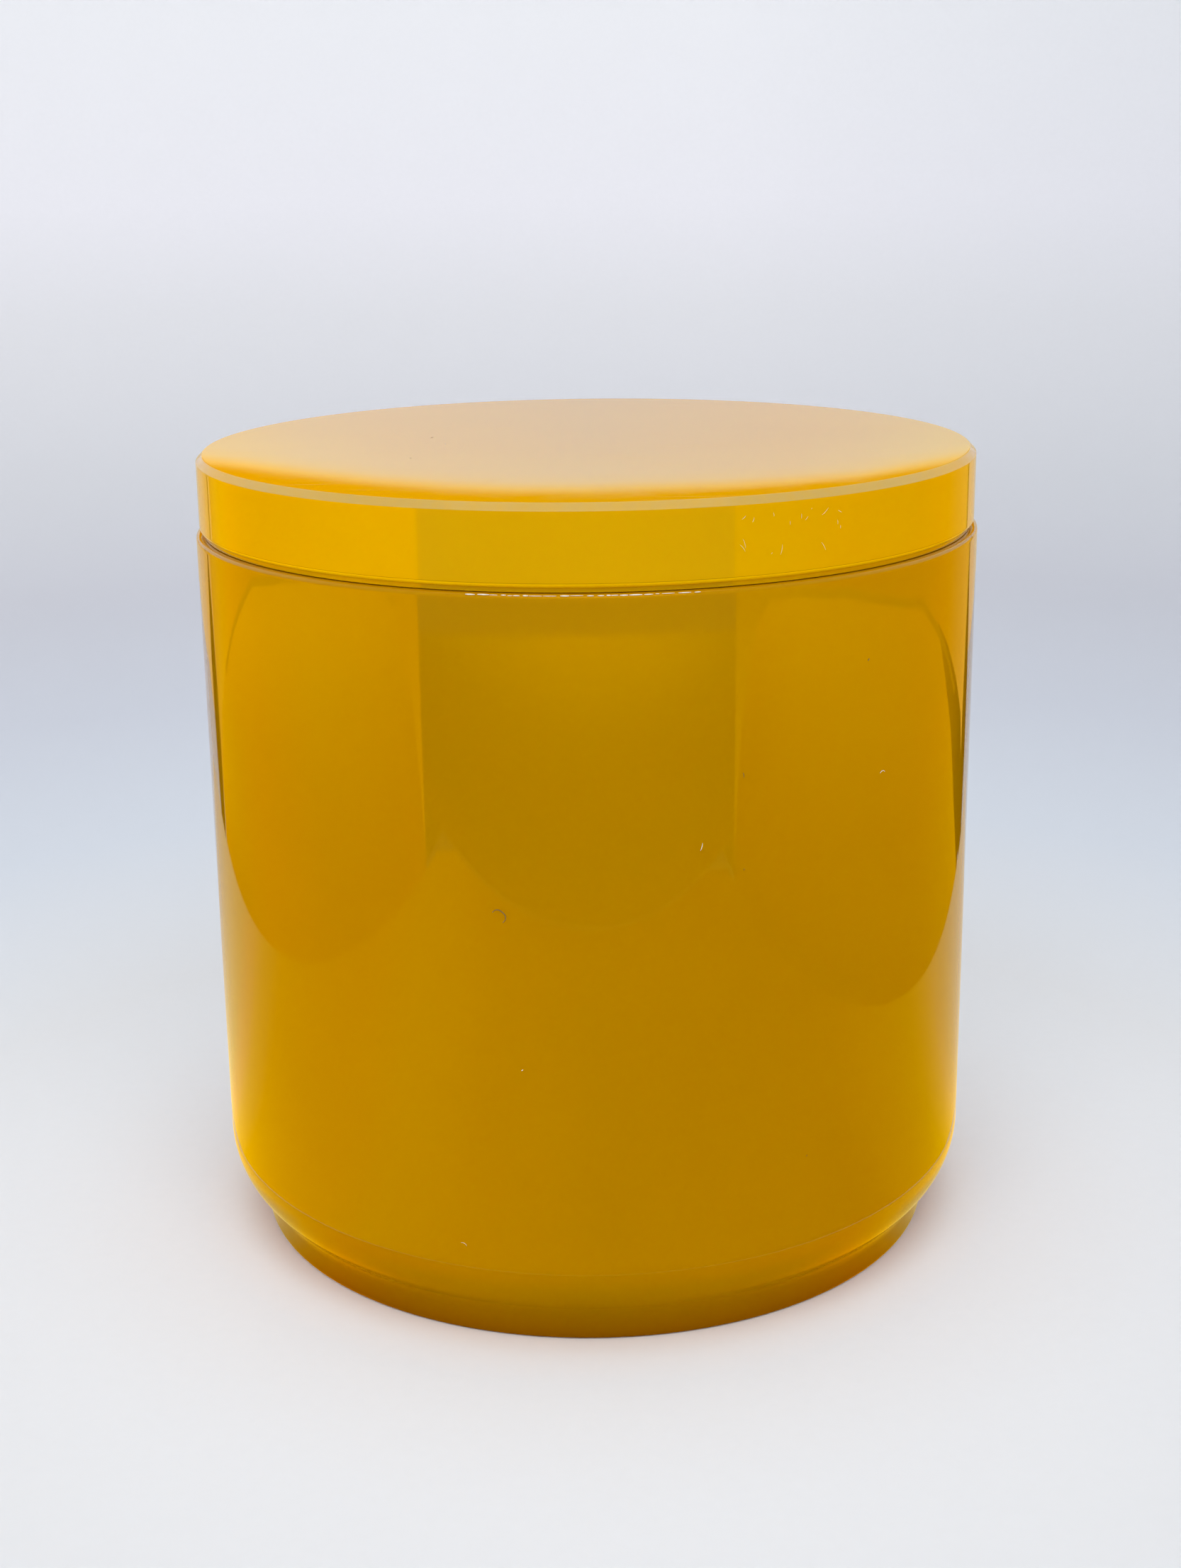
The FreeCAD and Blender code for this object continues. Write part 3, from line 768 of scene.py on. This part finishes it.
# The floor in front, by depth, and the tent's rear as (side, depth, tone) round to the middle.
FRONT_HEIGHT = 1.0
FRONT_WIDTH = 600.0
FRONT_SIDES = (-150, -110)
FRONT = (
    (-150, (0.6, 0.25, 0.0)), (-175, (0.42, 0.22, 0.0)), (-210, (0.58, 0.34, 0.0)),
    (-250, (0.72, 0.64, 0.0)), (-300, (1.35, 1.45, 0.0)), (-362, (2.4, 2.5, 0.0)),
    (-440, (1.5, 1.45, 0.0)), (-700, (1.2, 0.9, 0.0)),
)
REAR_HEIGHT = 74.0
REAR = (
    (150, 112, (1.1, 0.65, 0.15)), (150, 160, (1.1, 0.67, 0.2)), (160, 215, (0.95, 0.66, 0.34)),
    (125, 320, (0.62, 0.54, 0.4)), (20, 345, (0.6, 0.56, 0.48)),
)
# The floor at the foot as only reflections see it, near and far, by angle in degrees from straight ahead:
# painted shade, darkest in front.
FOOT_HEIGHT = 0.12
FOOT_NEAR = (
    (0, (0.15, 0.05, 0.0)), (31, (0.5, 0.18, 0.0)), (48, (1.1, 0.4, 0.0)), (59, (1.1, 0.6, 0.0)),
    (66, (0.85, 0.6, 0.1)), (72, (0.8, 0.6, 0.2)), (180, (0.8, 0.62, 0.28)),
)
FOOT_FAR = (
    (0, (0.45, 0.1, 0.0)), (30, (1.0, 0.2, 0.0)), (48, (1.35, 0.42, 0.0)), (60, (1.4, 0.75, 0.0)),
    (75, (1.5, 0.9, 0.05)), (90, (1.45, 0.88, 0.12)), (120, (0.95, 0.7, 0.36)),
    (180, (0.8, 0.65, 0.4)),
)
FOOT_RINGS = ((34.3, FOOT_NEAR), (38.6, FOOT_NEAR), (42.5, FOOT_FAR), (FLOOR_INNER, FOOT_FAR))
# What the lid's top reflects, by height from a middle height that dips towards the sides.
STRIP_DEPTH = 430.0
STRIP_HEIGHT = 149.1
STRIP = (
    (-50, (0.64, 0.62, 0.66)), (-12, (0.64, 0.64, 0.72)), (-5.5, (0.68, 0.69, 0.74)),
    (-3.2, (0.74, 0.71, 0.66)), (-1.2, (0.9, 0.64, 0.28)), (0.6, (0.7, 0.3, 0.0)),
    (150, (0.55, 0.28, 0.0)), (450, (0.4, 0.3, 0.1)),
)
STRIP_DIP = (
    (-115, 9.3), (-85, 5.6), (-60, 2.8), (-40, 1.2), (-20, 0.3), (0, 0.0), (40, 0.6), (60, 1.4),
    (80, 2.7), (100, 5.2), (115, 7.7),
)
STRIP_SIDES = (
    (-112, (1.33, 1.16, 0.82)), (-88, (1.2, 1.12, 0.95)), (-65, (1.14, 1.06, 0.97)),
    (0, (1.0, 1.0, 1.0)), (70, (1.06, 0.99, 0.93)), (93, (1.08, 1.06, 0.92)),
    (112, (1.15, 1.1, 0.84)),
)


def pocket_tone(pocket, y, z):
    """A pocket's tone at a depth and height."""
    return between([(at, between(column, z)) for at, column in pocket], y)


def side_cards(name, x, shift, pocket, cloth, edge):
    """One side wall of the light tent: its pocket, the cloth above, the dark gap and the edge beside it."""
    rows = []
    for share in POCKET_ROWS:
        rows.append([((x, y + shift, share * top), pocket_tone(pocket, y, share * top)) for y, top in ARCH])
    card(name + "_pocket", rows)
    rows = []
    for share in CLOTH_ROWS:
        rows.append([((x, y + shift, top + (CLOTH_TOP - top) * share), between(cloth, y + shift))
                     for y, top in ARCH])
    card(name + "_cloth", rows)
    card(name + "_gap", [[((x, y + shift, z), GAP_TONE) for y in depths] for z, *depths in GAP])
    behind = ARCH[-1][0]
    card(name + "_edge", [[((x, y + shift, z), edge) for y in (behind, first)] for z, first, _ in GAP[2:]])


def rim_card(name, x, shift, inward):
    """The dark turned rim at the back of a pocket, narrow at its top and reaching inward lower down."""
    back = ARCH[RIM_START:]
    fades = [between(RIM_TONES, k) for k in range(len(back))]
    inner, outer = [], []
    for (y, top), part, tone in zip(back, (0.0, 0.3, 0.6, 1.0, 0.8, 0.4), fades):
        inner.append(((x, y + shift - inward * part, max(top - inward * part, 0)), tone))
    for (y, top), spread, tone in zip(back, (0.5, 1.0, 2.0, 4.0, 5.0, 5.0), fades):
        outer.append(((x, y + shift + spread, top + spread * 0.5), tone))
    card(name + "_rim", [inner, outer])


def seam_card(name, x, shift, pocket):
    """The darker seam along a pocket's arch."""
    rows = [[], []]
    for y, top in ARCH[SEAM]:
        tone = tuple(part * SEAM_SHADE for part in pocket_tone(pocket, y, top))
        for row, drop in zip(rows, (0.0, SEAM_WIDTH)):
            row.append(((x, y + shift, top - drop), tone))
    card(name + "_seam", rows)


def floor_card(name, side, reach, tones):
    """The tent's floor on one side, from straight ahead round to the back."""
    rows = []
    for share in FLOOR_ROWS:
        row = []
        for angle in range(0, 146, 5):
            turn = math.radians(angle)
            edges = [FLOOR_FRONT / math.cos(turn)] if angle < 85 else []
            edges += [reach / math.sin(turn)] if angle > 5 else []
            out = FLOOR_INNER + (min(min(edges), FLOOR_REACH) - FLOOR_INNER) * share
            place = (side * out * math.sin(turn), -out * math.cos(turn), FLOOR_HEIGHT)
            row.append((place, between(tones, angle)))
        rows.append(row)
    card(name, rows)


def foot_card():
    """The floor all round the foot in painted shade, as only reflections see it."""
    rows = []
    for out, tones in FOOT_RINGS:
        row = []
        for angle in range(-180, 181, 6):
            turn = math.radians(angle)
            place = (out * math.sin(turn), -out * math.cos(turn), FOOT_HEIGHT)
            row.append((place, between(tones, abs(angle))))
        rows.append(row)
    card("foot_reflected_shade", rows)


def strip_card():
    """The far strip that the lid's top reflects."""
    rows = []
    for height, tone in STRIP:
        row = []
        for x in (-420, *range(-120, 121, 20), 420):
            middle = STRIP_HEIGHT - between(STRIP_DIP, x)
            side = between(STRIP_SIDES, x)
            row.append(((x, STRIP_DEPTH, middle + height), tuple(a * b for a, b in zip(tone, side))))
        rows.append(row)
    card("back_strip", rows)


def tent():
    """The small light tent round the jar, which only reflections see."""
    side_cards("left", LEFT_WALL, 0, LEFT_POCKET, LEFT_CLOTH, LEFT_EDGE)
    seam_card("left", LEFT_WALL * NEARER, 0, LEFT_POCKET)
    side_cards("right", RIGHT_WALL, RIGHT_SHIFT, RIGHT_POCKET, RIGHT_CLOTH, RIGHT_EDGE)
    rim_card("right", RIGHT_WALL * NEARER, RIGHT_SHIFT, RIM_REACH)
    seam_card("right", RIGHT_WALL * NEARER, RIGHT_SHIFT, RIGHT_POCKET)
    floor_card("floor_left", -1, LEFT_REACH, LEFT_FLOOR)
    floor_card("floor_right", 1, RIGHT_REACH, RIGHT_FLOOR)
    wide = (-FRONT_WIDTH, FRONT_WIDTH)
    card("front", [[((x, y, FRONT_HEIGHT), tone) for x in wide] for y, tone in FRONT])
    corners = (("front_left", LEFT_WALL - 1, -FRONT_WIDTH), ("front_right", RIGHT_WALL + 1, FRONT_WIDTH))
    for name, x, reach in corners:
        card(name, [[((at, y, FRONT_HEIGHT), FRONT[1][1]) for at in (x, reach)] for y in FRONT_SIDES])
    foot_card()
    for name, side in (("rear_left", -1), ("rear_right", 1)):
        card(name, [[((side * x, y, z), tone) for x, y, tone in REAR] for z in (0, REAR_HEIGHT)])
    strip_card()


def studio():
    """Soft world light, the tent and two soft panels."""
    world = bpy.data.worlds.new("studio")
    world.use_nodes = True
    background = world.node_tree.nodes["Background"]
    background.inputs["Color"].default_value = (0.88, 0.93, 1.0, 1)
    background.inputs["Strength"].default_value = WORLD_LEVEL
    bpy.context.scene.world = world
    tent()
    area_light("key_panel", KEY_PLACE, (0, 0, 0.03), KEY_SIZE, KEY_LEVEL, PANEL_TINT)
    area_light("top_panel", TOP_PLACE, (0, 0.02, 0), TOP_SIZE, TOP_LEVEL, PANEL_TINT)


def camera():
    """The camera in front of the jar, looking down at it, in metres and degrees."""
    data = bpy.data.cameras.new("camera")
    data.lens = 51.03
    data.sensor_width = 36.0
    data.clip_start = 0.01
    view = bpy.data.objects.new("camera", data)
    tilt = Matrix.Rotation(math.radians(90 - 16.31), 4, "X")
    roll = Matrix.Rotation(math.radians(-0.71), 4, "Z")
    view.matrix_world = Matrix.Translation((0.00005, -0.2177, 0.1072)) @ tilt @ roll
    bpy.context.scene.collection.objects.link(view)
    bpy.context.scene.camera = view


AMBER_TINT = (1.0, 0.45, 0.02)
JAR_AMBER = amber_plastic("jar_amber", (0.475, 0.236, 0.0), (0.450, 0.220, 0.0), AMBER_TINT,
                          (0, 20, 35), (0.035, 0.07))
LID_AMBER = amber_plastic("lid_amber", (0.71, 0.385, 0.0), (0.685, 0.368, 0.0), AMBER_TINT,
                          (0, 5, 70), (0.018, 0.04))
make_jar()
make_cover()
scatter_lint()
dress_cad_nodes()
stage_sweep()
studio()
camera()
scene = bpy.context.scene
scene.view_settings.view_transform = "Standard"
